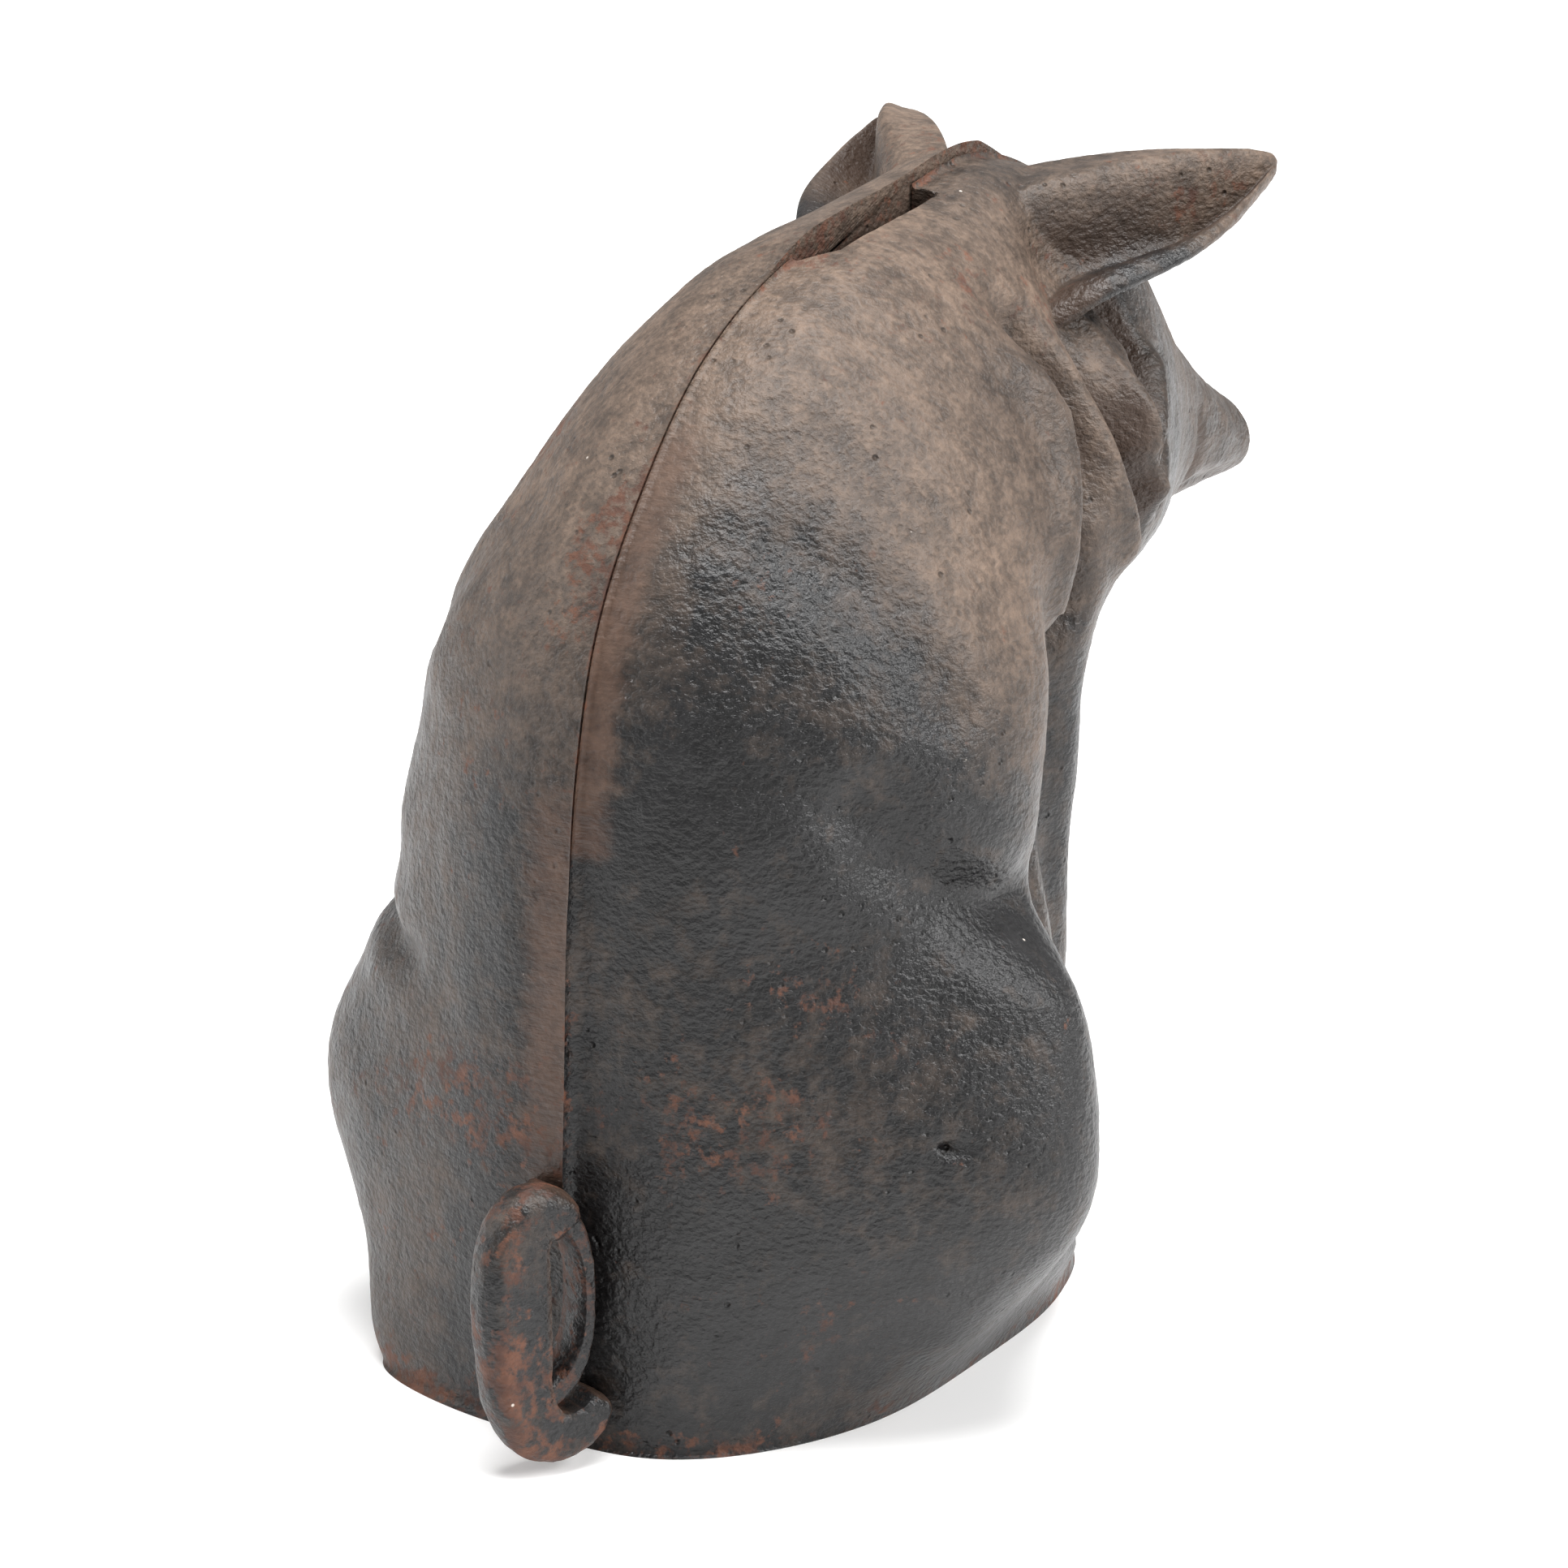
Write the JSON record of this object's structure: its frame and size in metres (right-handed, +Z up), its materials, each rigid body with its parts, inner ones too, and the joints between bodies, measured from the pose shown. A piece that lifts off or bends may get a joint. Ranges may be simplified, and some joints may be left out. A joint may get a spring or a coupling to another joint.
{
  "type": "piggy bank",
  "caption": "Seated pig coin bank of rusty cast iron: two hollow halves joined on the back seam by a long screw, a curled tail and a coin notch behind the ears.",
  "frame": {"origin": "centre of the bounding box on the plane of the flat base", "axes": "+Z up from the flat base, -Y the way the pig faces, +X to the pig's left; the seam between the halves is the plane X = 0"},
  "size_m": [0.1356, 0.2344, 0.1876],
  "materials": {
    "left_iron": "worn dark paint over rough sand-cast iron with brown rust",
    "right_iron": "worn dark paint over rough sand-cast iron with brown rust",
    "screw_steel": "dull steel with brown rust"
  },
  "bodies": {
    "left": {"left_half": "left_iron"},
    "right": {"right_half": "right_iron"},
    "screw": {"body_screw": "screw_steel"}
  },
  "joints": [
    {"name": "screw_withdraw", "type": "slide", "parent": "left", "child": "screw", "axis": [1, 0, 0], "range_m": [0, 0.1]},
    {"name": "right_half_off", "type": "slide", "parent": "left", "child": "right", "axis": [-1, 0, 0], "range_m": [0, 0.12]}
  ]
}
